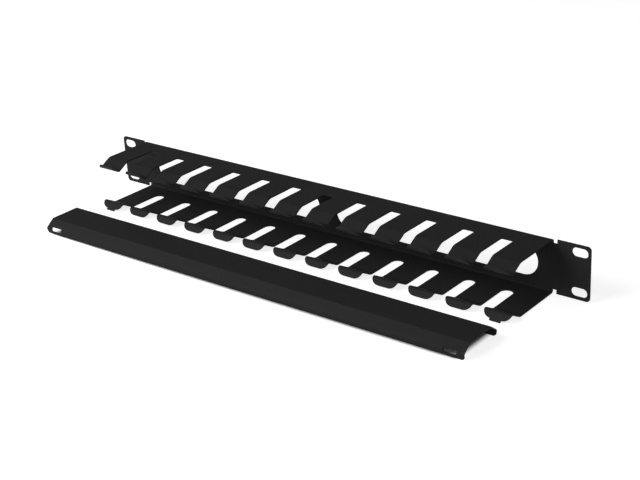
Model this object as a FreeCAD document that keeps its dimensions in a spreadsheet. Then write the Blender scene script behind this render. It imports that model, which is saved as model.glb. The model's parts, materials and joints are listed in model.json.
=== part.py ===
import FreeCAD, Part
import Sketcher
import math
import os

# Horizontal cable manager for a 19-inch rack, one unit high.
# It is made of two folded sheets of powder-coated steel:
#   bracket  a back plate with two slotted ears, and a top and a bottom flange cut into
#            fingers. Each finger dips towards the other row and ends in a turned-out lip.
#   cover    a shallow channel that snaps over the lips. It lies off, in front of the bracket,
#            face up, on the surface that the bracket's lower flange stands on.
# X runs along the rack's width, Y from the front to the back, and Z up. The origin is the
# middle of the back face, where the ears meet the rack's posts, at half the height.

Vector = FreeCAD.Vector
doc = FreeCAD.newDocument("cable_manager")

# ---------------------------------------------------------------- sizes, in mm and degrees
SIZES = (
    # the width and height that a rack sets
    ("rack_width", 482.6),           # over the two ears
    ("bracket_height", 44.0),
    # the bracket's sheet
    ("sheet_thickness", 1.2),
    ("ear_width", 30.6),             # from an ear's end to the flanges
    ("ear_corner_radius", 3.0),
    ("ear_slot_length", 13.0),
    ("ear_slot_height", 7.2),
    ("ear_slot_inset", 8.75),        # from an ear's end to the middle of its slots
    ("ear_slot_margin", 6.125),      # from an ear's top or bottom to the middle of a slot
    ("fold_radius", 0.9),            # inside radius between the plate and a flange
    # the fingers
    ("finger_count", 13),
    ("finger_gap", 10.3),
    ("finger_reach", 45.5),          # from the back face to where the dip starts
    ("upper_gap_root", 18.5),        # from the back face to the square end of an upper gap
    ("lower_gap_root", 15.0),        # from the back face to the round end of a lower gap
    ("gap_corner_radius", 1.2),
    ("dip_radius", 6.8),             # inside radius of the first bend
    ("dip_angle", 29.0),
    ("dip_length", 8.75),
    ("lip_radius", 1.85),            # inside radius of the bend that turns the lip out
    ("lip_angle", 50.0),             # of the lip from the level
    ("lip_inset", 1.4),              # from a flange's outer face to the level of a lip's free edge
    ("lip_corner_radius", 6.7),
    ("tab_width", 9.2),              # tab below the lip of each outermost lower finger
    ("tab_length", 1.8),
    ("tab_corner_radius", 0.6),
    # the plate's two long openings
    ("opening_margin", 9.2),         # plate left above and below an opening
    ("opening_web", 17.5),           # plate left between the two openings
    ("opening_inset", 12.5),         # from the flanges' end to the outer end of an opening
    # the notches that let the flanges fold beside the ears
    ("notch_width", 3.2),
    ("notch_depth", 3.4),
    # the cover
    ("cover_thickness", 0.9),
    ("cover_overhang", 0.4),         # of the cover's end past the outermost finger
    ("cover_snap_clearance", 0.05),  # between the crease's inside and a lip's free edge
    ("cover_fold_radius", 0.8),      # inside radius of its creases
    ("cover_bevel_angle", 37.0),
    ("cover_bevel_length", 8.4),
    ("cover_strip_lean", 11.0),      # of a strip from the upright, towards the middle
    ("cover_depth", 11.0),
    ("cover_strip_corner", 2.8),
    ("cover_slot_clearance", 1.0),   # beside a tab, at each end of its slot
    ("cover_slot_height", 3.5),
    ("cover_slot_edge", 2.5),        # from a strip's free edge up to the slot
    # where the cover lies, beside the bracket
    ("cover_setback", 103.8),        # from the bracket's back face to the cover's middle
    ("cover_shift", 0.65),           # sideways, to the right
    ("cover_turn", 0.53),            # about the upright
)

sheet = doc.addObject("Spreadsheet::Sheet", "Sizes")
for row, (alias, value) in enumerate(SIZES, start=1):
    sheet.set(f"A{row}", alias)
    sheet.set(f"B{row}", str(value))
    sheet.setAlias(f"B{row}", alias)
doc.recompute()


def size(alias):
    """A driving size, read from the sheet."""
    return float(sheet.get(alias))


def cells(expression):
    """Put the sheet's name before each alias of an expression."""
    words = expression.replace("(", "( ").replace(")", " )").split()
    aliases = [alias for alias, _ in SIZES]
    return " ".join("Sizes." + word if word in aliases else word for word in words)


def value_of(expression):
    """The value that an expression on the sheet's aliases has now."""
    return float(sheet.evalExpression(cells(expression)))


# ---------------------------------------------------------------- sketch helpers
def new_body(label):
    body = doc.addObject("PartDesign::Body", label)
    body.Label = label
    return body


def new_sketch(body, name, plane):
    """A sketch on one of the body's own origin planes."""
    sketch = body.newObject("Sketcher::SketchObject", name)
    for feature in body.Origin.OriginFeatures:
        if feature.Role == plane:
            sketch.AttachmentSupport = (feature, [""])
    sketch.MapMode = "FlatFace"
    return sketch


def bind(sketch, name, expression, *constraint):
    """Add a size constraint and tie it to the sheet."""
    index = sketch.addConstraint(Sketcher.Constraint(*constraint, value_of(expression)))
    sketch.renameConstraint(index, name)
    sketch.setExpression("Constraints." + name, cells(expression))


def bind_angle(sketch, name, expression, *constraint):
    """Add an angle constraint and tie it to the sheet, which holds degrees."""
    angle = math.radians(value_of(expression))
    index = sketch.addConstraint(Sketcher.Constraint(*constraint, angle))
    sketch.renameConstraint(index, name)
    sketch.setExpression("Constraints." + name, cells(expression))


def measure(sketch, name, *constraint):
    """Add a reference dimension, which other expressions can read by its name."""
    index = sketch.addConstraint(Sketcher.Constraint(*constraint, 1.0))
    sketch.setDriving(index, False)
    sketch.renameConstraint(index, name)


def heading_vector(degrees):
    angle = math.radians(degrees)
    return Vector(math.cos(angle), math.sin(angle), 0)


def line(sketch, start, end):
    return sketch.addGeometry(Part.LineSegment(start, end), False)


def arc(sketch, centre, radius, first, last):
    """An arc that runs counter-clockwise from the first angle to the last, in degrees."""
    circle = Part.Circle(centre, Vector(0, 0, 1), radius)
    return sketch.addGeometry(Part.ArcOfCircle(circle, math.radians(first), math.radians(last)), False)


def folded_strip(sketch, start, heading, steps, thickness):
    """Outline of a sheet seen edge on: both faces of it, through every bend.

    steps alternates ("flat", length) and ("bend", turn, inside radius), where turn is
    a signed angle, positive to the left. Every size is an expression on the sheet. A flat
    whose length is given as a plain number is left free, for a constraint of the caller's.
    Returns the lines of the left face and of the right face, and each bend's two arcs.
    """
    wall = value_of(thickness)
    left_at, facing = start, heading
    right_at = left_at - heading_vector(facing + 90) * wall
    left, right, bends = [], [], []
    previous = None
    for number, step in enumerate(steps):
        if step[0] == "flat":
            free = isinstance(step[1], float)
            length = step[1] if free else value_of(step[1])
            ahead = heading_vector(facing) * length
            left_line = line(sketch, left_at, left_at + ahead)
            right_line = line(sketch, right_at, right_at + ahead)
            left_at, right_at = left_at + ahead, right_at + ahead
            if previous:
                sketch.addConstraint(Sketcher.Constraint("Tangent", previous[0], previous[2], left_line, 1))
                sketch.addConstraint(Sketcher.Constraint("Tangent", previous[1], previous[2], right_line, 1))
            if not free:
                bind(sketch, f"flat_{number}", step[1], "Distance", left_line)
            left.append(left_line)
            right.append(right_line)
            continue
        sign = -1 if step[1].startswith("-") else 1
        turn = sign * value_of(step[1].lstrip("-"))
        inside = value_of(step[2])
        near, far = inside, inside + wall
        left_radius, right_radius = (near, far) if sign > 0 else (far, near)
        side = heading_vector(facing + 90 * sign)
        centre = left_at + side * left_radius
        begin = facing - 90 * sign
        first, last = (begin, begin + turn) if sign > 0 else (begin + turn, begin)
        left_arc = arc(sketch, centre, left_radius, first, last)
        right_arc = arc(sketch, centre, right_radius, first, last)
        enter, leave = (1, 2) if sign > 0 else (2, 1)
        sketch.addConstraint(Sketcher.Constraint("Tangent", left[-1], 2, left_arc, enter))
        sketch.addConstraint(Sketcher.Constraint("Tangent", right[-1], 2, right_arc, enter))
        sketch.addConstraint(Sketcher.Constraint("Coincident", left_arc, 3, right_arc, 3))
        near_arc, far_arc = (left_arc, right_arc) if sign > 0 else (right_arc, left_arc)
        bind(sketch, f"inside_{number}", step[2], "Radius", near_arc)
        bind(sketch, f"outside_{number}", f"{step[2]} + {thickness}", "Radius", far_arc)
        bind_angle(sketch, f"turn_{number}", step[1].lstrip("-"), "Angle", near_arc)
        facing += turn
        outward = heading_vector(facing - 90 * sign)
        left_at = centre + outward * left_radius
        right_at = centre + outward * right_radius
        previous = (left_arc, right_arc, leave)
        bends.append((left_arc, right_arc))
    for cap, end in ((0, 1), (-1, 2)):
        corners = [sketch.getPoint(left[cap], end), sketch.getPoint(right[cap], end)]
        cap_line = line(sketch, *corners)
        sketch.addConstraint(Sketcher.Constraint("Coincident", cap_line, 1, left[cap], end))
        sketch.addConstraint(Sketcher.Constraint("Coincident", cap_line, 2, right[cap], end))
        sketch.addConstraint(Sketcher.Constraint("Perpendicular", cap_line, left[cap]))
        sketch.addConstraint(Sketcher.Constraint("Parallel", left[cap], right[cap]))
    return left, right, bends


def rectangle(sketch, left, bottom, right, top, name):
    """A rectangle between four places, each an expression measured from the sketch's axes."""
    x0, y0, x1, y1 = (value_of(place) for place in (left, bottom, right, top))
    corners = [Vector(x0, y0, 0), Vector(x1, y0, 0), Vector(x1, y1, 0), Vector(x0, y1, 0)]
    sides = [line(sketch, corners[k], corners[(k + 1) % 4]) for k in range(4)]
    for k in range(4):
        sketch.addConstraint(Sketcher.Constraint("Coincident", sides[k], 2, sides[(k + 1) % 4], 1))
        sketch.addConstraint(Sketcher.Constraint("Vertical" if k % 2 else "Horizontal", sides[k]))
    place(sketch, name + "_left", left, "DistanceX", sides[0], 1)
    place(sketch, name + "_bottom", bottom, "DistanceY", sides[0], 1)
    place(sketch, name + "_right", right, "DistanceX", sides[1], 2)
    place(sketch, name + "_top", top, "DistanceY", sides[1], 2)
    return sides


def place(sketch, name, expression, kind, geometry, point):
    """Fix a point's distance from the sketch's origin along X or Y, signed."""
    if value_of(expression) < 0:
        bind(sketch, name, f"-1 * ( {expression} )", kind, geometry, point, -1, 1)
    else:
        bind(sketch, name, expression, kind, -1, 1, geometry, point)


def obround(sketch, left, right, middle, height, name):
    """A slot with full-round ends, between two end places, at one height."""
    x0, x1, y = value_of(left), value_of(right), value_of(middle)
    radius = value_of(height) / 2
    left_arc = arc(sketch, Vector(x0 + radius, y, 0), radius, 90, 270)
    right_arc = arc(sketch, Vector(x1 - radius, y, 0), radius, -90, 90)
    lower = line(sketch, Vector(x0 + radius, y - radius, 0), Vector(x1 - radius, y - radius, 0))
    upper = line(sketch, Vector(x1 - radius, y + radius, 0), Vector(x0 + radius, y + radius, 0))
    for one, end, two, start in ((left_arc, 2, lower, 1), (lower, 2, right_arc, 1),
                                 (right_arc, 2, upper, 1), (upper, 2, left_arc, 1)):
        sketch.addConstraint(Sketcher.Constraint("Tangent", one, end, two, start))
    sketch.addConstraint(Sketcher.Constraint("Horizontal", lower))
    bind(sketch, name + "_radius", f"( {height} ) / 2", "Radius", left_arc)
    place(sketch, name + "_left", f"{left} + ( {height} ) / 2", "DistanceX", left_arc, 3)
    place(sketch, name + "_right", f"{right} - ( {height} ) / 2", "DistanceX", right_arc, 3)
    if y == 0:
        sketch.addConstraint(Sketcher.Constraint("PointOnObject", left_arc, 3, -1))
    else:
        place(sketch, name + "_middle", middle, "DistanceY", left_arc, 3)


# ---------------------------------------------------------------- feature helpers
def pad(body, sketch, name, length, both_ways=False, reverse=False):
    feature = body.newObject("PartDesign::Pad", name)
    feature.Profile = sketch
    feature.SideType = "Symmetric" if both_ways else "One side"
    feature.Reversed = reverse
    feature.setExpression("Length", cells(length))
    doc.recompute()
    return feature


def pocket(body, sketch, name, reverse=False, both_ways=False, depth=None):
    """Cut a sketch through the sheet, and make sure that it cuts something."""
    before = body.Shape.Volume
    feature = body.newObject("PartDesign::Pocket", name)
    feature.Profile = sketch
    feature.SideType = "Symmetric" if both_ways else "One side"
    feature.Reversed = reverse
    if depth:
        feature.Type = "Length"
        feature.setExpression("Length", cells(depth))
    else:
        feature.Type = "ThroughAll"
    doc.recompute()
    if not body.Shape.Volume < before - 1e-6:
        raise RuntimeError(name + " cuts nothing")
    return feature


def row_along_x(body, feature, name, step, count):
    """Repeat a feature along the rack's width."""
    before = body.Shape.Volume
    pattern = body.newObject("PartDesign::LinearPattern", name)
    pattern.Originals = [feature]
    pattern.Direction = (body.Origin.OriginFeatures[0], [""])
    pattern.Mode = "Spacing"
    pattern.setExpression("Offset", cells(step))
    pattern.setExpression("Occurrences", cells(count))
    body.Tip = pattern
    doc.recompute()
    if math.isclose(body.Shape.Volume, before, rel_tol=1e-9):
        raise RuntimeError(name + " repeats nothing")
    return pattern


def fillet(body, name, radius, chosen):
    """Round the edges of the body that pass a test on the middle of the edge."""
    base = body.Tip
    edges = []
    for number, edge in enumerate(base.Shape.Edges, start=1):
        if edge.Curve.TypeId == "Part::GeomLine" and chosen(edge.CenterOfMass, edge.tangentAt(0)):
            edges.append(f"Edge{number}")
    if not edges:
        raise RuntimeError(name + " finds no edge")
    feature = body.newObject("PartDesign::Fillet", name)
    feature.Base = (base, edges)
    feature.setExpression("Radius", cells(radius))
    doc.recompute()
    return feature


def same(one, other):
    return abs(one - other) < 0.01


# ---------------------------------------------------------------- the bracket
FLANGE_WIDTH = "( rack_width - 2 * ear_width )"
PITCH = f"( ( {FLANGE_WIDTH} + finger_gap ) / finger_count )"
FINGER_WIDTH = f"( {PITCH} - finger_gap )"
LIP_LEVEL = "( bracket_height / 2 - lip_inset )"
FIRST_FINGER = f"( ( finger_count - 1 ) * {PITCH} / 2 )"
OUTSIDE_FOLD = "( fold_radius + sheet_thickness )"

bracket = new_body("bracket")

# One outline holds both rows' section: lip, dip, flange, plate, flange, dip, lip.
section = new_sketch(bracket, "section", "YZ_Plane")
FLANGE_FLAT = f"finger_reach - {OUTSIDE_FOLD}"
PLATE_FLAT = f"bracket_height - 2 * {OUTSIDE_FOLD}"
LIP_TURN = "dip_angle + lip_angle"
LIP_GUESS = 4.0
dip_end = size("finger_reach") + (size("dip_radius") + size("dip_length")) * 0.9
lip_start = Vector(-dip_end - 4.5, value_of(LIP_LEVEL), 0)
section_steps = (
    ("flat", LIP_GUESS),
    ("bend", LIP_TURN, "lip_radius"),
    ("flat", "dip_length"),
    ("bend", "-dip_angle", "dip_radius"),
    ("flat", FLANGE_FLAT),
    ("bend", "-90", "fold_radius"),
    ("flat", PLATE_FLAT),
    ("bend", "-90", "fold_radius"),
    ("flat", FLANGE_FLAT),
    ("bend", "-dip_angle", "dip_radius"),
    ("flat", "dip_length"),
    ("bend", LIP_TURN, "lip_radius"),
    ("flat", LIP_GUESS),
)
outer, _, _ = folded_strip(section, lip_start, -size("lip_angle"), section_steps, "sheet_thickness")
plate_back = outer[3]
section.addConstraint(Sketcher.Constraint("PointOnObject", plate_back, 1, -2))
section.addConstraint(Sketcher.Constraint("Symmetric", plate_back, 1, plate_back, 2, -1, 1))
place(section, "upper_lip", LIP_LEVEL, "DistanceY", outer[0], 1)
place(section, "lower_lip", "-1 * " + LIP_LEVEL, "DistanceY", outer[-1], 2)
measure(section, "lip_reach", "DistanceX", outer[0], 1, -1, 1)
doc.recompute()
pad(bracket, section, "channel", FLANGE_WIDTH, both_ways=True)

# The plate runs on past the flanges as the two ears.
ears = new_sketch(bracket, "ears_outline", "XZ_Plane")
for side in (-1, 1):
    word = "left" if side < 0 else "right"
    inner, outer_end = f"{side} * {FLANGE_WIDTH} / 2", f"{side} * rack_width / 2"
    low, high = (outer_end, inner) if side < 0 else (inner, outer_end)
    rectangle(ears, low, "-1 * bracket_height / 2", high, "bracket_height / 2", word)
pad(bracket, ears, "ears", "sheet_thickness")

# Slots for the rack's screws, and the two long openings for cables from behind.
slots = new_sketch(bracket, "rack_slots", "XZ_Plane")
for side in (-1, 1):
    for level in (-1, 1):
        word = ("left" if side < 0 else "right") + ("_low" if level < 0 else "_high")
        middle = f"{side} * ( rack_width / 2 - ear_slot_inset )"
        obround(slots, f"{middle} - ear_slot_length / 2", f"{middle} + ear_slot_length / 2",
                f"{level} * ( bracket_height / 2 - ear_slot_margin )", "ear_slot_height", word)
pocket(bracket, slots, "rack_slot_cut", both_ways=True)

openings = new_sketch(bracket, "back_openings", "XZ_Plane")
OPENING_HEIGHT = "bracket_height - 2 * opening_margin"
OPENING_END = f"( {FLANGE_WIDTH} / 2 - opening_inset )"
obround(openings, "-1 * " + OPENING_END, "-1 * opening_web / 2", "0", OPENING_HEIGHT, "left")
obround(openings, "opening_web / 2", OPENING_END, "0", OPENING_HEIGHT, "right")
pocket(bracket, openings, "back_opening_cut", both_ways=True)

# Notches beside the folds.
notches = new_sketch(bracket, "fold_notches", "XZ_Plane")
for side in (-1, 1):
    for level in (-1, 1):
        word = ("left" if side < 0 else "right") + ("_low" if level < 0 else "_high")
        inner = f"{side} * {FLANGE_WIDTH} / 2"
        outer_end = f"{side} * ( {FLANGE_WIDTH} / 2 + notch_width )"
        deep = f"{level} * ( bracket_height / 2 - notch_depth )"
        edge = f"{level} * ( bracket_height / 2 + sheet_thickness )"
        low, high = (outer_end, inner) if side < 0 else (inner, outer_end)
        bottom, top = (edge, deep) if level < 0 else (deep, edge)
        rectangle(notches, low, bottom, high, top, word)
pocket(bracket, notches, "fold_notch_cut", both_ways=True)

# The gaps between the fingers: square roots above, round roots below.
FRONT = "-2 * finger_reach"      # well clear of the lips
GAP_LEFT = f"-1 * ( {FIRST_FINGER} - {PITCH} / 2 + finger_gap / 2 )"
GAP_RIGHT = f"-1 * ( {FIRST_FINGER} - {PITCH} / 2 - finger_gap / 2 )"
upper_gap = new_sketch(bracket, "upper_gap", "XY_Plane")
rectangle(upper_gap, GAP_LEFT, FRONT, GAP_RIGHT, "-1 * upper_gap_root", "gap")
gap_cut = pocket(bracket, upper_gap, "upper_gap_cut", reverse=True)
row_along_x(bracket, gap_cut, "upper_gaps", PITCH, "finger_count - 1")

lower_gap = new_sketch(bracket, "lower_gap", "XY_Plane")
gap_radius = size("finger_gap") / 2
root_centre = Vector(value_of(GAP_LEFT) + gap_radius, -size("lower_gap_root") - gap_radius, 0)
front_y = value_of(FRONT)
gap_left, gap_right = value_of(GAP_LEFT), value_of(GAP_RIGHT)
root = arc(lower_gap, root_centre, gap_radius, 0, 180)
left_side = line(lower_gap, Vector(gap_left, root_centre.y, 0), Vector(gap_left, front_y, 0))
front_side = line(lower_gap, Vector(gap_left, front_y, 0), Vector(gap_right, front_y, 0))
right_side = line(lower_gap, Vector(gap_right, front_y, 0), Vector(gap_right, root_centre.y, 0))
lower_gap.addConstraint(Sketcher.Constraint("Tangent", root, 2, left_side, 1))
lower_gap.addConstraint(Sketcher.Constraint("Coincident", left_side, 2, front_side, 1))
lower_gap.addConstraint(Sketcher.Constraint("Coincident", front_side, 2, right_side, 1))
lower_gap.addConstraint(Sketcher.Constraint("Tangent", right_side, 2, root, 1))
lower_gap.addConstraint(Sketcher.Constraint("Horizontal", front_side))
lower_gap.addConstraint(Sketcher.Constraint("Vertical", left_side))
bind(lower_gap, "root_radius", "finger_gap / 2", "Radius", root)
place(lower_gap, "root_place", "-1 * ( lower_gap_root + finger_gap / 2 )", "DistanceY", root, 3)
place(lower_gap, "gap_place", GAP_LEFT, "DistanceX", left_side, 2)
place(lower_gap, "gap_front", FRONT, "DistanceY", front_side, 1)
gap_cut = pocket(bracket, lower_gap, "lower_gap_cut")
row_along_x(bracket, gap_cut, "lower_gaps", PITCH, "finger_count - 1")

# The lips: each free corner is rounded, square to the lip.
def lip_sketch(name, level):
    """A sketch on a lip's outer face, with X along the rack and Y from the free edge inwards."""
    sketch = new_sketch(bracket, name, "XY_Plane")
    tilt = FreeCAD.Rotation(Vector(1, 0, 0), level * size("lip_angle"))
    sketch.AttachmentOffset = FreeCAD.Placement(Vector(), tilt)
    sketch.setExpression("AttachmentOffset.Base.y", "-1 * section.Constraints.lip_reach")
    sketch.setExpression("AttachmentOffset.Base.z", cells(f"{-level} * {LIP_LEVEL}"))
    sketch.setExpression("AttachmentOffset.Rotation.Angle", cells(f"{level} * lip_angle"))
    doc.recompute()
    return sketch


def corner_waste(sketch, side, centre):
    """What a rounded corner takes off the square corner, on one side of a finger."""
    word = "right" if side > 0 else "left"
    edge = f"{centre} + {side} * {FINGER_WIDTH} / 2"
    corner = Vector(value_of(edge), 0, 0)
    radius = size("lip_corner_radius")
    low = corner - Vector(side * radius, 0, 0)
    high = corner + Vector(0, radius, 0)
    angles, low_end, high_end = ((-90, 0), 1, 2) if side > 0 else ((180, 270), 2, 1)
    curve = arc(sketch, low + Vector(0, radius, 0), radius, *angles)
    bottom = line(sketch, low, corner)
    upright = line(sketch, corner, high)
    sketch.addConstraint(Sketcher.Constraint("Tangent", curve, low_end, bottom, 1))
    sketch.addConstraint(Sketcher.Constraint("Coincident", bottom, 2, upright, 1))
    sketch.addConstraint(Sketcher.Constraint("Tangent", upright, 2, curve, high_end))
    sketch.addConstraint(Sketcher.Constraint("Horizontal", bottom))
    sketch.addConstraint(Sketcher.Constraint("Vertical", upright))
    sketch.addConstraint(Sketcher.Constraint("PointOnObject", bottom, 2, -1))
    bind(sketch, word + "_radius", "lip_corner_radius", "Radius", curve)
    place(sketch, word + "_corner", edge, "DistanceX", bottom, 2)


LIP_CUT = "2 * ( lip_radius + 2 * sheet_thickness )"
for level, row in ((-1, "upper"), (1, "lower")):
    corners = lip_sketch(row + "_lip_corners", level)
    for side in (-1, 1):
        corner_waste(corners, side, f"-1 * {FIRST_FINGER}")
    cut = pocket(bracket, corners, row + "_lip_corner_cut", both_ways=True, depth=LIP_CUT)
    row_along_x(bracket, cut, row + "_lips", PITCH, "finger_count")

# A tab on the lip of each outermost lower finger, for the cover's two slots.
tabs = lip_sketch("lip_tabs", 1)
for side in (-1, 1):
    word = "left" if side < 0 else "right"
    centre = f"{side} * {FIRST_FINGER}"
    rectangle(tabs, f"{centre} - tab_width / 2", "-1 * tab_length", f"{centre} + tab_width / 2",
              "sheet_thickness", word)
pad(bracket, tabs, "tabs", "sheet_thickness")

# Rounded corners: the ears', the square roots' and the tabs'.
half_width, half_height = size("rack_width") / 2, size("bracket_height") / 2
fillet(bracket, "ear_corners", "ear_corner_radius",
       lambda middle, way: same(abs(middle.x), half_width) and same(abs(middle.z), half_height)
       and same(abs(way.y), 1))
fillet(bracket, "gap_corners", "gap_corner_radius",
       lambda middle, way: same(middle.y, -size("upper_gap_root")) and middle.z > 0
       and same(abs(way.z), 1))
tab_reach = value_of(f"{FIRST_FINGER} + tab_width / 2")
tab_normal = heading_vector(size("lip_angle") + 90)
fillet(bracket, "tab_corners", "tab_corner_radius",
       lambda middle, way: (same(abs(middle.x), tab_reach)
                            or same(abs(middle.x), tab_reach - size("tab_width")))
       and middle.z < -value_of(LIP_LEVEL)
       and same(abs(way.y * tab_normal.x + way.z * tab_normal.y), 1))

# ---------------------------------------------------------------- the cover
# Its body's own frame has the outside of the main face at zero height.
cover = new_body("cover")
cover_section = new_sketch(cover, "cover_section", "YZ_Plane")
CREASE_TURN = "90 - cover_bevel_angle + cover_strip_lean"
STRIP_GUESS, FACE_GUESS = 3.0, 27.0
strip_start = Vector(value_of(LIP_LEVEL), -size("cover_depth"), 0)
cover_steps = (
    ("flat", STRIP_GUESS),
    ("bend", CREASE_TURN, "cover_fold_radius"),
    ("flat", "cover_bevel_length"),
    ("bend", "cover_bevel_angle", "cover_fold_radius"),
    ("flat", FACE_GUESS),
    ("bend", "cover_bevel_angle", "cover_fold_radius"),
    ("flat", "cover_bevel_length"),
    ("bend", CREASE_TURN, "cover_fold_radius"),
    ("flat", STRIP_GUESS),
)
_, faces, creases = folded_strip(cover_section, strip_start, 90 - size("cover_strip_lean"),
                                 cover_steps, "cover_thickness")
main_face = faces[2]
cover_section.addConstraint(Sketcher.Constraint("Symmetric", main_face, 1, main_face, 2, -2))
cover_section.addConstraint(Sketcher.Constraint("PointOnObject", main_face, 1, -1))
place(cover_section, "crease", f"{LIP_LEVEL} + cover_snap_clearance - cover_fold_radius",
      "DistanceX", creases[0][0], 3)
place(cover_section, "back_strip", "-1 * cover_depth", "DistanceY", faces[0], 1)
place(cover_section, "front_strip", "-1 * cover_depth", "DistanceY", faces[-1], 2)
doc.recompute()
COVER_LENGTH = f"( {FLANGE_WIDTH} + 2 * cover_overhang )"
pad(cover, cover_section, "cover_channel", COVER_LENGTH, both_ways=True)

# Slots across the front crease, one for each tab of the bracket.
cover_slots = new_sketch(cover, "cover_slots", "XZ_Plane")
for side in (-1, 1):
    word = "left" if side < 0 else "right"
    centre = f"{side} * {FIRST_FINGER}"
    half = "( tab_width / 2 + cover_slot_clearance )"
    rectangle(cover_slots, f"{centre} - {half}", "-1 * cover_depth + cover_slot_edge",
              f"{centre} + {half}", "-1 * cover_depth + cover_slot_edge + cover_slot_height", word)
pocket(cover, cover_slots, "cover_slot_cut", reverse=True)

strip_end = value_of(f"{COVER_LENGTH} / 2")
fillet(cover, "strip_corners", "cover_strip_corner",
       lambda middle, way: same(abs(middle.x), strip_end) and same(way.x, 0)
       and middle.z < -size("cover_depth") + size("cover_thickness") and abs(way.y) > 0.9)

cover.Placement.Rotation = FreeCAD.Rotation(Vector(0, 0, 1), size("cover_turn"))
cover.setExpression("Placement.Rotation.Angle", "Sizes.cover_turn")
cover.setExpression("Placement.Base.x", "Sizes.cover_shift")
cover.setExpression("Placement.Base.y", cells("-1 * cover_setback"))
cover.setExpression("Placement.Base.z", cells("-1 * bracket_height / 2 + cover_depth"))
doc.recompute()

# ---------------------------------------------------------------- checks and files
for item in doc.Objects:
    if "Invalid" in item.State or "Error" in item.State:
        raise RuntimeError(item.Name + " failed: " + str(item.State))
os.makedirs("parts", exist_ok=True)
for body in (bracket, cover):
    shape = body.Shape
    if shape.isNull() or not shape.isValid() or len(shape.Solids) != 1:
        raise RuntimeError(body.Label + " is not one sound solid")
    box = shape.BoundBox
    print(body.Label, "volume", round(shape.Volume), "mm3, box", *(round(side, 2) for side in (
        box.XMin, box.XMax, box.YMin, box.YMax, box.ZMin, box.ZMax)))
    shape.exportStep(f"parts/{body.Label}.step")
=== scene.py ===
# %% [markdown]
# # A rack cable manager in matt black powder coat
# The object is two folded sheets of steel. The bracket bolts across a rack's two posts, and
# its two rows of fingers hold the cables. The cover pushes on over the fingers' lips, and
# here it lies loose in front of the bracket. The solid model already has every fold, slot
# and rounded corner. This script adds what a solid lacks: the softened edges of a coated
# sheet, the coat's own skin, a table to lie on, the light and the camera. Lengths are in
# metres, unless a name or a comment says otherwise.

import json
import math

import bmesh
import bpy
import numpy as np
from mathutils import Matrix, Vector


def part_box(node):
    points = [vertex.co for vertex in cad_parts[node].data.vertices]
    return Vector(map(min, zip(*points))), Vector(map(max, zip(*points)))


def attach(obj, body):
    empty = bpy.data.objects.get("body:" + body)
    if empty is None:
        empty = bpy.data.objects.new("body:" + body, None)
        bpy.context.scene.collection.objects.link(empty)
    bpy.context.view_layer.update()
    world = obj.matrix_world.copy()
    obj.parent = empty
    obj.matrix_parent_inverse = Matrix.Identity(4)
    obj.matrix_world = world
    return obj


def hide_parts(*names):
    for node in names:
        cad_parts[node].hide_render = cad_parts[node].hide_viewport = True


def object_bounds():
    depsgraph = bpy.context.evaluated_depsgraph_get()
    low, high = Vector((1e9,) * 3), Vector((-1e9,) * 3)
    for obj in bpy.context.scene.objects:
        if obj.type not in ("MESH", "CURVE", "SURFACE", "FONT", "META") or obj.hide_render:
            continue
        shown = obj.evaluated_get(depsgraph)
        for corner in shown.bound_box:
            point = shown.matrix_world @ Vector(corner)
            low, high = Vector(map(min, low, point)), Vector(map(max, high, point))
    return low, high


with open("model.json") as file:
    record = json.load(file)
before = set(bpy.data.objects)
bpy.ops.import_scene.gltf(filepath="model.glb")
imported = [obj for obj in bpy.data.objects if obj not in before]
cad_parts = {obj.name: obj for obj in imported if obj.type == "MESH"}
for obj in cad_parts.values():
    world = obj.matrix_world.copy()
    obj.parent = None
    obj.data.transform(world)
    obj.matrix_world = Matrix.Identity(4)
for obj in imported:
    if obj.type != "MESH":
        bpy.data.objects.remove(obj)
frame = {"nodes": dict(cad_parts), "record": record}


def plain(corners):
    """A box's two corners as plain lists of numbers."""
    return [[float(value) for value in corner] for corner in corners]


cad_box = plain(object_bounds())
print("loaded", sorted(frame["nodes"]), "in a box", cad_box)

# %% [markdown]
# ## The camera
# A camera could be made to track a target, but then its roll is hard to state. Here its
# place is worked out from the object's frame: a point to stand at, then a turn about the
# upright, a tilt and a roll. It stands to the right of the object and looks down on it, and
# the slight roll lets the near ear hang a little lower. A long lens keeps the rows of
# fingers nearly parallel.

# %% Make the camera
CAMERA_PLACE = Vector((0.6368, -0.7753, 0.4145))
CAMERA_TURN = math.radians(39.90)
CAMERA_TILT = math.radians(66.21)
CAMERA_ROLL = math.radians(-3.41)
LENS_MM = 73.54
SENSOR_MM = 36.0
SIGHT_END = 50.0


def new_object(name, data):
    """An object that shows a mesh, a lamp or a camera, linked into the scene."""
    made = bpy.data.objects.new(name, data)
    bpy.context.collection.objects.link(made)
    return made


lens = bpy.data.cameras.new("camera")
lens.lens = LENS_MM
lens.sensor_width = SENSOR_MM
lens.clip_end = SIGHT_END
camera = new_object("camera", lens)
camera.matrix_world = (
    Matrix.Translation(CAMERA_PLACE)
    @ Matrix.Rotation(CAMERA_TURN, 4, "Z")
    @ Matrix.Rotation(CAMERA_TILT, 4, "X")
    @ Matrix.Rotation(CAMERA_ROLL, 4, "Z")
)
bpy.context.scene.camera = camera
print("camera at", tuple(round(value, 3) for value in CAMERA_PLACE))

# %% [markdown]
# ## Shader maths as sums
# A material is a graph of nodes. It could be wired by hand, but that hides the formula.
# One small class wraps a socket instead, so that `a * 0.5 + b` on two values adds the Math
# nodes that compute it. Each operator has its reflected form, so `1 - mask` works too.

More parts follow.
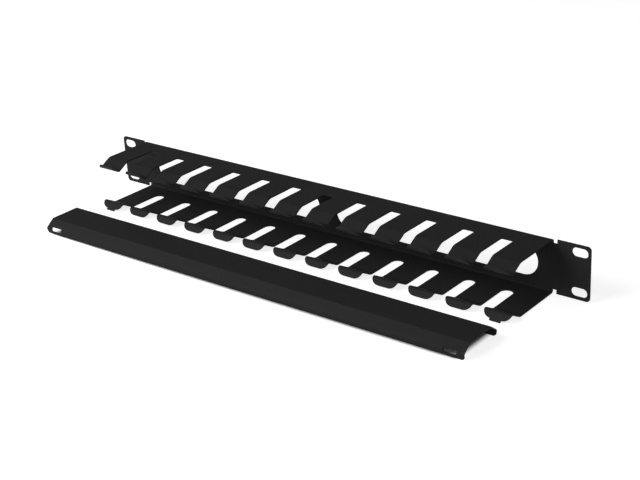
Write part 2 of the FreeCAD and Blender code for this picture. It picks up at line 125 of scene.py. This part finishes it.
# %% A value that adds its own nodes
class Wire:
    """A socket of a node tree, on which plain arithmetic adds Math nodes."""

    def __init__(self, tree, socket):
        self.tree = tree
        self.socket = socket

    def math(self, operation, other=0.0):
        """Add one Math node, fed by this value and by another value or number."""
        node = self.tree.nodes.new("ShaderNodeMath")
        node.operation = operation
        for socket, value in zip(node.inputs, (self, other)):
            if isinstance(value, Wire):
                self.tree.links.new(value.socket, socket)
            else:
                socket.default_value = value
        return Wire(self.tree, node.outputs[0])

    def __add__(self, other):
        return self.math("ADD", other)

    __radd__ = __add__

    def __mul__(self, other):
        return self.math("MULTIPLY", other)

    __rmul__ = __mul__

    def __sub__(self, other):
        return self.math("SUBTRACT", other)

    def __rsub__(self, other):
        return self * -1.0 + other

    def __gt__(self, other):
        return self.math("GREATER_THAN", other)

    def __lt__(self, other):
        return self.math("LESS_THAN", other)

    def __abs__(self):
        return self.math("ABSOLUTE")

    def held(self):
        """The value, kept from 0 to 1."""
        return self.math("MINIMUM", 1.0).math("MAXIMUM", 0.0)


print("values add their own nodes")

# %% [markdown]
# ## Every other node
# Noises, shaders and outputs could each have a helper of their own, but they are all set
# up alike. So one method adds any of them: it takes the node's type, then its options, and
# last the values or links of its sockets.

# %% A graph that adds any node
NUMBERED = "input_"


class Graph:
    """A node tree under construction: one method adds any node."""

    def __init__(self, tree):
        self.tree = tree
        self.tree.nodes.clear()

    def node(self, kind, settings=None, output=0, **sockets):
        """Add a node of a type: its settings first, then its sockets' values or links.

        A socket's name has its spaces as underscores, and one of several alike is named by
        its number, as in input_6.
        """
        made = self.tree.nodes.new("ShaderNode" + kind)
        for name, value in (settings or {}).items():
            setattr(made, name, value)
        for name, value in sockets.items():
            if name.startswith(NUMBERED):
                socket = made.inputs[int(name.removeprefix(NUMBERED))]
            else:
                socket = made.inputs[name.replace("_", " ")]
            if isinstance(value, Wire):
                self.tree.links.new(value.socket, socket)
            else:
                socket.default_value = value
        return Wire(self.tree, made.outputs[output]) if made.outputs else None


def new_material(name):
    """A material with an empty node tree, and the graph that fills it."""
    material = bpy.data.materials.new(name)
    material.use_nodes = True
    return material, Graph(material.node_tree)


print("graphs add any node")

# %% [markdown]
# ## The powder coat
# Powder coat is a resin dust, baked until it flows. It never levels quite flat: a
# fine-textured matt black has tight grains under half a millimetre apart, over a slower
# waviness called orange peel, a few millimetres across. The coat is a plastic, so it isn't
# metallic, and its grains scatter the highlight into a broad soft sheen, so the specular
# level is very low. The tone hardly varies. The grains' tops are painted a trace lighter
# than the pits, which is painted shade in the pits, and the pigment itself drifts by a few
# percent over centimetres.
#
# An image texture could be wrapped round the sheets, but it would need a map of every
# fold. Three noises on Object coordinates need none, and each is as fine as its own cause.

# %% Set the coat's tones and grains
METRE_PER_MM = 0.001
COAT_BLACK = (0.0200, 0.0200, 0.0208, 1.0)
COAT_LIFTED = (0.0265, 0.0265, 0.0273, 1.0)
LIFT_SHARE = 0.6
LIFT_START = 0.1
COAT_ROUGHNESS = 0.45
ROUGHNESS_RISE = 0.06
SPECULAR_LEVEL = 0.035

# a noise's waves to the metre, the finer layers over them, and how strong those are
GRAIN = {"Scale": 2400.0, "Detail": 2.0, "Roughness": 0.6}
PEEL = {"Scale": 380.0, "Detail": 1.0, "Roughness": 0.5}
DRIFT = {"Scale": 22.0, "Detail": 3.0, "Roughness": 0.55}

GRAIN_RELIEF = 0.5
PEEL_RELIEF = 0.8
SKIN_STRENGTH = 0.35
SKIN_HEIGHT = 0.06 * METRE_PER_MM
print("grains every", round(1.0 / (GRAIN["Scale"] * METRE_PER_MM), 2), "mm")

# %% Mix the powder coat
PATTERN_SHIFT = {"bracket": 0.0, "cover": 1.7}


def powder_coat(name, shift):
    """A fine-textured matt black coat, with its pattern moved along the rack by a shift.

    Its tone goes from black to lifted by (grain + drift) times a share, less a start. The
    grain's part is painted shade, darker in the pits that the relief digs, and the drift's
    part is the pigment's own. Its roughness rises with grain and drift, and its relief is a
    sum of grain and peel.
    """
    material, finish = new_material(name)
    place = finish.node("TexCoord", output="Object")
    place = finish.node("Mapping", Vector=place, Location=(shift, 0.0, 0.0))
    grain = finish.node("TexNoise", Vector=place, **GRAIN)
    peel = finish.node("TexNoise", Vector=place, **PEEL)
    drift = finish.node("TexNoise", Vector=place, **DRIFT)
    # painted shade: the grain's part darkens the pits of the relief below, and the drift's
    # part is the pigment's own drift
    tone = grain * LIFT_SHARE + drift * LIFT_SHARE - LIFT_START
    # a Mix of colours has its factor at input 0, its colours at 6 and 7, its result at 2
    colour = finish.node("Mix", {"data_type": "RGBA"}, output=2, input_0=tone,
                         input_6=COAT_BLACK, input_7=COAT_LIFTED)
    rough = COAT_ROUGHNESS + grain * ROUGHNESS_RISE + drift * ROUGHNESS_RISE
    relief = grain * GRAIN_RELIEF + peel * PEEL_RELIEF
    skin = finish.node("Bump", Height=relief, Strength=SKIN_STRENGTH, Distance=SKIN_HEIGHT)
    shader = finish.node("BsdfPrincipled", Base_Color=colour, Roughness=rough, Normal=skin,
                         Metallic=0.0, Specular_IOR_Level=SPECULAR_LEVEL)
    finish.node("OutputMaterial", Surface=shader)
    print("mixed", name)
    return material


coats = {node: powder_coat(node + "_powder_coat", shift)
         for node, shift in PATTERN_SHIFT.items()}

# %% [markdown]
# ## Softened edges
# A cut sheet's edges are broken slightly, and the coat flows over them, so no edge is a
# perfect knife. Such an edge could be faked in the shader, but then the mesh would still be
# sharp. A Bevel modifier gives it real width. The solid's mesh is loose triangles, which a
# Bevel can't follow, so each sheet gets a copy with its doubles merged and its flat
# triangles joined. The Bevel rounds only the edges that turn by more than a fold's own
# facets do, with its clamp off, because one short edge would hold back the radius of a
# whole sheet. Weighted Normal keeps the flats flat beside the rounded edges. The copy
# stands in for the solid when the object is seen.

# %% Look up what each sheet rides on
BODY_OF = {node: body
           for body, nodes in frame["record"]["behaviour"]["bodies"].items()
           for node in nodes}

# %% Join a sheet's loose triangles
FLAT_TURN = math.radians(0.3)
MERGE_DISTANCE = 0.002 * METRE_PER_MM


def merged_mesh(source, name):
    """A copy of a mesh with its doubles merged and its flat triangles joined into faces."""
    mesh = source.copy()
    mesh.name = name
    work = bmesh.new()
    work.from_mesh(mesh)
    bmesh.ops.remove_doubles(work, verts=work.verts, dist=MERGE_DISTANCE)
    bmesh.ops.dissolve_limit(work, angle_limit=FLAT_TURN, verts=work.verts,
                             edges=work.edges)
    for face in work.faces:
        face.smooth = True
    work.to_mesh(mesh)
    work.free()
    # the modifiers work out new normals, so the solid's stored ones go
    if "custom_normal" in mesh.attributes:
        mesh.attributes.remove(mesh.attributes["custom_normal"])
    return mesh


print("doubles merge within", MERGE_DISTANCE / METRE_PER_MM, "mm")

# %% Soften the two sheets
EDGE_RADIUS = 0.18 * METRE_PER_MM
EDGE_SEGMENTS = 2
SHARP_TURN = math.radians(38.0)
LARGE_FACES_LEAD = 100


def softened_sheet(node):
    """A merged copy of a node's mesh, with its sharp edges rounded and its coat on."""
    source = frame["nodes"][node].data
    name = node + "_sheet"
    mesh = merged_mesh(source, name)
    mesh.materials.clear()
    mesh.materials.append(coats[node])
    piece = new_object(name, mesh)
    edges = piece.modifiers.new("soft_edges", "BEVEL")
    edges.width = EDGE_RADIUS
    edges.segments = EDGE_SEGMENTS
    edges.limit_method = "ANGLE"
    edges.angle_limit = SHARP_TURN
    edges.use_clamp_overlap = False
    shading = piece.modifiers.new("flat_flats", "WEIGHTED_NORMAL")
    shading.weight = LARGE_FACES_LEAD
    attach(piece, BODY_OF[node])
    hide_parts(node)
    print("softened", node, "from", len(source.polygons), "triangles, as",
          len(mesh.polygons), "faces")


for sheet in ("bracket", "cover"):
    softened_sheet(sheet)

# %% [markdown]
# ## The floor
# The sheets lie on a plain table top that runs out of sight. A small plane could be scaled
# up to it, but a square with its corners worked out leaves no scale to apply. It is part of
# the stage, so it isn't a piece of the object.

# %% Lay the floor
FLOOR_LEVEL = cad_box[0][2]
FLOOR_SPAN = 12.0


def flat_square(name, span, level):
    """A square at one level, with its corners at plus and minus half its span."""
    half = span / 2
    corners = np.array([(-half, -half), (half, -half), (half, half), (-half, half)])
    points = np.column_stack([corners, np.full(len(corners), level)])
    mesh = bpy.data.meshes.new(name)
    mesh.from_pydata(points.tolist(), [], [(0, 1, 2, 3)])
    return new_object(name, mesh)


floor = flat_square("floor", FLOOR_SPAN, FLOOR_LEVEL)
print("floor at", round(FLOOR_LEVEL, 4))

# %% [markdown]
# ## Where the table shows white
# Lit evenly enough to look white, a real table would flood a black object with light from
# below. So the table is an ordinary diffuse white, plus a glow that only three kinds of ray
# meet: the camera's own, and those that come by a gloss or through glass. The lamps'
# shadows still fall on the diffuse part.
#
# Where the cover closes over the table no light gets in, so there the glow fades with the
# share of the sky above that is open, as a painted shade under the cover. When the cover
# lifts off, that share grows and the glow is back.

# %% Find where the cover shuts the light out
SKY_REACH = 0.06
SKY_SAMPLES = 16
SHUT_SHARE = 0.50
OPEN_SHARE = 0.70
MOUTH_DEPTH = 0.004
MOUTH_FADE = 0.005


def sky_open(graph):
    """How far the sky is open: from 0 at the shut share of it to 1 at the open share."""
    share = graph.node("AmbientOcclusion", {"samples": SKY_SAMPLES}, output="AO",
                       Distance=SKY_REACH)
    return ((share - SHUT_SHARE) * (1.0 / (OPEN_SHARE - SHUT_SHARE))).held()


def under_cover(graph):
    """1 on the table inside the cover's box, and 0 outside it and at its open mouths.

    Along the rack it is (half the cover's length - the mouth's depth - the distance from
    the cover's middle) / the fade, kept from 0 to 1. Across the rack it is 1 or 0.
    """
    (left, front, _), (right, rear, _) = plain(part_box("cover"))
    spot = graph.node("TexCoord", output="Object")
    along = graph.node("SeparateXYZ", output="X", Vector=spot) - (left + right) / 2
    across = graph.node("SeparateXYZ", output="Y", Vector=spot)
    inside = ((right - left) / 2 - MOUTH_DEPTH - abs(along)) * (1.0 / MOUTH_FADE)
    return inside.held() * (across > front) * (across < rear)


print("each mouth open for", MOUTH_DEPTH / METRE_PER_MM, "mm")

# %% Mix the white table
TABLE_WHITE = (0.50, 0.50, 0.50, 1.0)
PURE_WHITE = (1.0, 1.0, 1.0, 1.0)
TABLE_GLOW = 0.80
SOME_KIND = 0.5


def ray_is(graph, kind):
    """1 for a ray of one kind, such as Camera or Glossy, and 0 for the others."""
    return graph.node("LightPath", output=f"Is {kind} Ray")


white_table, table = new_material("white_table")
# a ray can be of two kinds at once, so their sum is brought back to 0 or 1
meets_glow = (ray_is(table, "Camera") + ray_is(table, "Glossy")
              + ray_is(table, "Transmission")) > SOME_KIND
# painted shade: under the cover the glow fades where the sky above is shut
open_above = 1.0 - under_cover(table) * (1.0 - sky_open(table))
lit = table.node("BsdfDiffuse", Color=TABLE_WHITE)
glow = table.node("Emission", Color=PURE_WHITE, Strength=TABLE_GLOW)
glow = table.node("MixShader", input_0=meets_glow * open_above, input_2=glow)
table.node("OutputMaterial", Surface=table.node("AddShader", input_0=lit, input_1=glow))
floor.data.materials.append(white_table)
print("table mixed")

# %% [markdown]
# ## The lamps
# A black sheet shows its folds only by small steps of tone. One lamp overhead would light
# the flats alike and lose the folds, so there are four, placed against them. They are large
# and soft, and most of the light comes from one side. Two at the front left stand low
# enough to face the lips and the cover's bevel, and to reach in under the upper fingers. A
# weak one at the right keeps the ears from going flat, and one behind draws the back plate
# for whoever walks round.

# %% Hang the lamps
LAMP_DISTANCE = 2.0
LAMP_SPAN = 1.2
LAMPS = (
    # name, degrees from the front to the right, degrees up, watts
    ("left_near", -30.0, 35.0, 28.0),
    ("left_far", -60.0, 35.0, 9.5),
    ("right_low", 40.0, 22.0, 9.0),
    ("behind", 150.0, 22.0, 4.0),
)
AIM = Vector((0.0, -0.06, 0.0))


def hang_lamp(name, turn, rise, watts):
    """A square soft lamp that faces the aim.

    From the aim it lies along (sin turn cos rise, -cos turn cos rise, sin rise).
    """
    turn, rise = math.radians(turn), math.radians(rise)
    outward = Vector((math.sin(turn) * math.cos(rise), -math.cos(turn) * math.cos(rise),
                      math.sin(rise)))
    lamp = bpy.data.lights.new(name, "AREA")
    lamp.shape = "SQUARE"
    lamp.size = LAMP_SPAN
    lamp.energy = watts
    holder = new_object(name, lamp)
    holder.location = AIM + outward * LAMP_DISTANCE
    holder.rotation_euler = outward.to_track_quat("Z", "Y").to_euler()
    print("hung", name)


for lamp_row in LAMPS:
    hang_lamp(*lamp_row)

# %% [markdown]
# ## The room
# Four walls could be built round the table, but a world colour does as much for a small
# black object. It is a dim grey, which fills the shadows. What the camera sees behind the
# table is white. A gloss sees that white only as high as a backdrop stands, and the dim
# room above it.

# %% Make the room
ROOM_GREY = (0.05, 0.05, 0.05, 1.0)
BACKDROP_TOP = 0.15

world = bpy.data.worlds.new("studio")
bpy.context.scene.world = world
world.use_nodes = True
room = Graph(world.node_tree)
outlook = room.node("TexCoord", output="Generated")
on_backdrop = room.node("SeparateXYZ", output="Z", Vector=outlook) < BACKDROP_TOP
meets_white = (ray_is(room, "Camera") + ray_is(room, "Transmission")
               + ray_is(room, "Glossy") * on_backdrop)
dim = room.node("Background", Color=ROOM_GREY)
white = room.node("Background", Color=PURE_WHITE)
room.node("OutputWorld", Surface=room.node("MixShader", input_0=meets_white,
                                           input_1=dim, input_2=white))
bpy.context.scene.view_settings.view_transform = "Standard"
print("room made")
